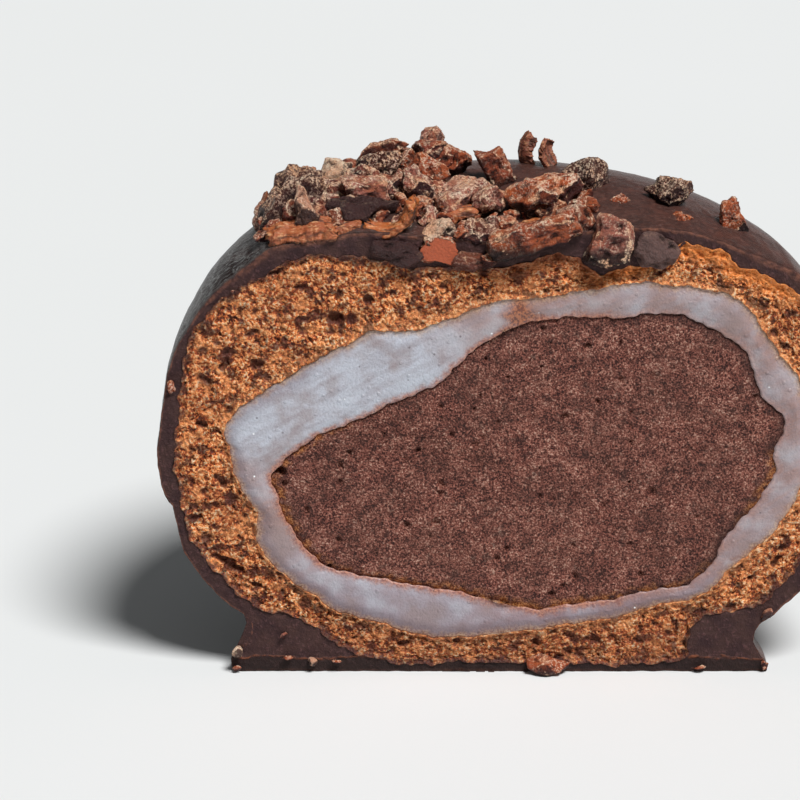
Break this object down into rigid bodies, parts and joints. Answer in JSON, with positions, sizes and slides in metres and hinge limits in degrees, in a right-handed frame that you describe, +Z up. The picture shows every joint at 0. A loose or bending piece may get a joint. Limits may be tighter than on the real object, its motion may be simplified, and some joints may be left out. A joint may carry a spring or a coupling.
{
  "type": "half of a filled chocolate doughnut",
  "caption": "Cut half of a round chocolate-coated doughnut with brown crumb, soft rice dough and chocolate paste inside and cocoa nibs on top, standing on its chocolate foot.",
  "frame": {"origin": "under the middle of the part's box, on the surface that it stands on", "axes": "+Z up; the cut face looks along -Y and the round side is towards +Y; +X to the right of the cut face"},
  "size_m": [0.0694, 0.0356, 0.0527],
  "materials": {
    "chocolate": "dark chocolate, glossy outside and matt where cut",
    "crumb": "porous brown cake crumb",
    "mochi": "soft translucent pale grey rice dough",
    "paste": "grainy chocolate bean paste",
    "nibs": "broken roasted cocoa nibs, dusty on the skin side",
    "husk": "thin orange-brown cocoa husk"
  },
  "bodies": {
    "root": {"chocolate_coat": "chocolate", "cake_crumb": "crumb", "mochi_layer": "mochi", "paste_core": "paste"}
  },
  "joints": []
}
